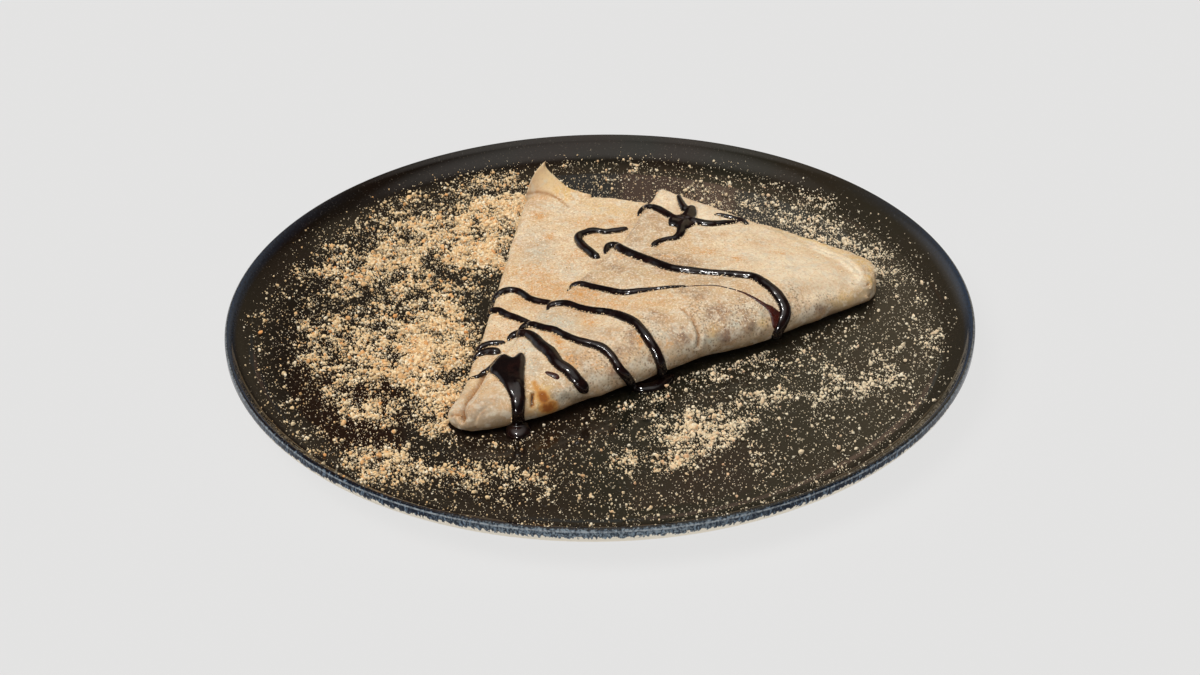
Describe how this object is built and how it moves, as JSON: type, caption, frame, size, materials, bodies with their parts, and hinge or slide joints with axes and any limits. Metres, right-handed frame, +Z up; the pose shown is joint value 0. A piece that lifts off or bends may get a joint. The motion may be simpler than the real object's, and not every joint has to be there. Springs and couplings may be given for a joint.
{
  "type": "folded crepe on a plate",
  "caption": "Thin pancake folded to a wedge with chocolate drizzle, served on a low round plate with a small turned-up rim.",
  "frame": {"origin": "centre of the plate at the foot ring's underside", "axes": "+Z up, the plate's axis; +X to the viewer's right; +Y away from the viewer"},
  "size_m": [0.27, 0.27, 0.0302],
  "materials": {
    "glaze": "glossy near-black brown glaze, mottled blue at the rim",
    "pancake": "matt cream pancake with tiny pores and faint grey and orange patches",
    "chocolate": "glossy dark chocolate sauce",
    "crumbs": "dry cream and orange crumbs and dust"
  },
  "bodies": {
    "root": {"plate": "glaze", "crepe": "pancake"}
  },
  "joints": []
}
